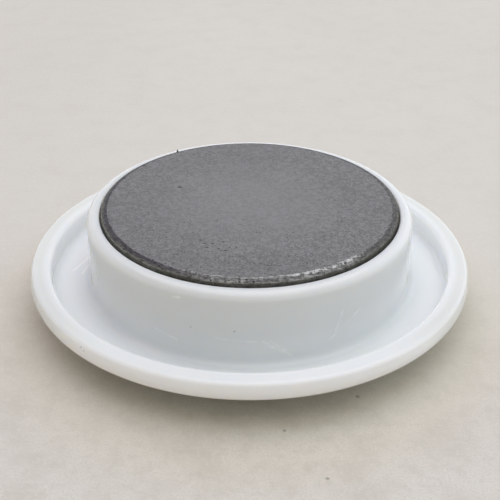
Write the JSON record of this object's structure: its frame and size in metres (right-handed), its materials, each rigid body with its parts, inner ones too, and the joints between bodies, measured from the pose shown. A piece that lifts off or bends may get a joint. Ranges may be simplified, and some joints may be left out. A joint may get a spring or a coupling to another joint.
{
  "type": "security tag detacher",
  "caption": "Round flanged plastic housing filled with bonded ferrite magnets, with a blind tag well in its working face; drops into a counter cut-out.",
  "frame": {"origin": "centre of the flat working face, on the surface that the object rests on", "axes": "+Z along the axis, from the working face to the open magnet back"},
  "size_m": [0.108, 0.108, 0.0257],
  "materials": {
    "housing_plastic": "gloss white moulded ABS",
    "ferrite": "matt dark grey sintered ferrite, ground face, pressed bevels with small chips",
    "core_steel": "turned soft steel",
    "adhesive": "cured brown-black epoxy"
  },
  "bodies": {
    "root": {"housing": "housing_plastic", "disc_magnet": "ferrite", "ring_magnet": "ferrite", "pole_core": "core_steel", "face_bond": "adhesive", "magnet_bond": "adhesive", "edge_bond": "adhesive"}
  },
  "joints": []
}
